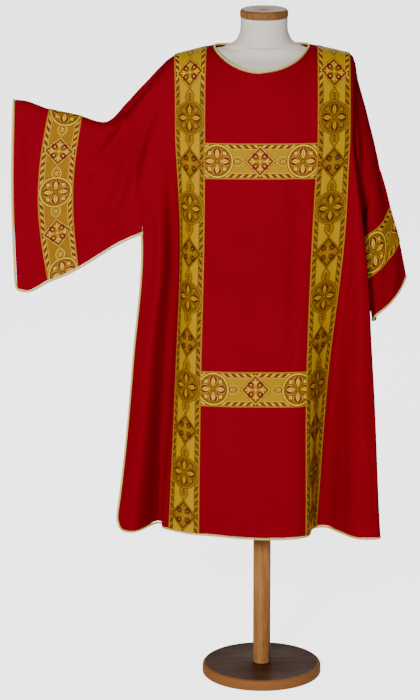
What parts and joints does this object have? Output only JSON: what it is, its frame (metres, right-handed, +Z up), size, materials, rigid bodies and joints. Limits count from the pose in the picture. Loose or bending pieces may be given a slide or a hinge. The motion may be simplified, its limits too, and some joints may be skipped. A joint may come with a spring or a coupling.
{
  "type": "dalmatic on a dress form",
  "caption": "Wide-sleeved vestment with vertical and cross galloons, open below the arms, worn by a limbless dress form on a turned pole and round base.",
  "frame": {"origin": "centre of the stand's underside, on the floor", "axes": "+Z up the pole, -Y out of the garment's front, -X towards the wearer's right hand and the raised sleeve"},
  "size_m": [0.9712, 0.3442, 1.7],
  "materials": {
    "cloth": "matt red woven wool blend",
    "galloon": "gold satin ground with woven roundels and lozenges",
    "piping": "twisted gold cord",
    "form_cover": "off-white stretch cotton",
    "beech": "lacquered, golden brown",
    "dark_wood": "lacquered, dark brown"
  },
  "bodies": {
    "root": {"body_front": "cloth", "body_back": "cloth", "sleeve_right": "cloth", "sleeve_left": "cloth", "band_shoulder_right": "galloon", "band_shoulder_left": "galloon", "band_front_chest": "galloon", "band_front_skirt": "galloon", "band_back_chest": "galloon", "band_back_skirt": "galloon", "band_sleeve_right": "galloon", "band_sleeve_left": "galloon", "neck_piping": "piping", "front_piping": "piping", "back_piping": "piping", "sleeve_right_piping": "piping", "sleeve_left_piping": "piping", "form_torso": "form_cover", "neck_cap": "beech", "stand_pole": "beech", "stand_base": "dark_wood"}
  },
  "joints": []
}
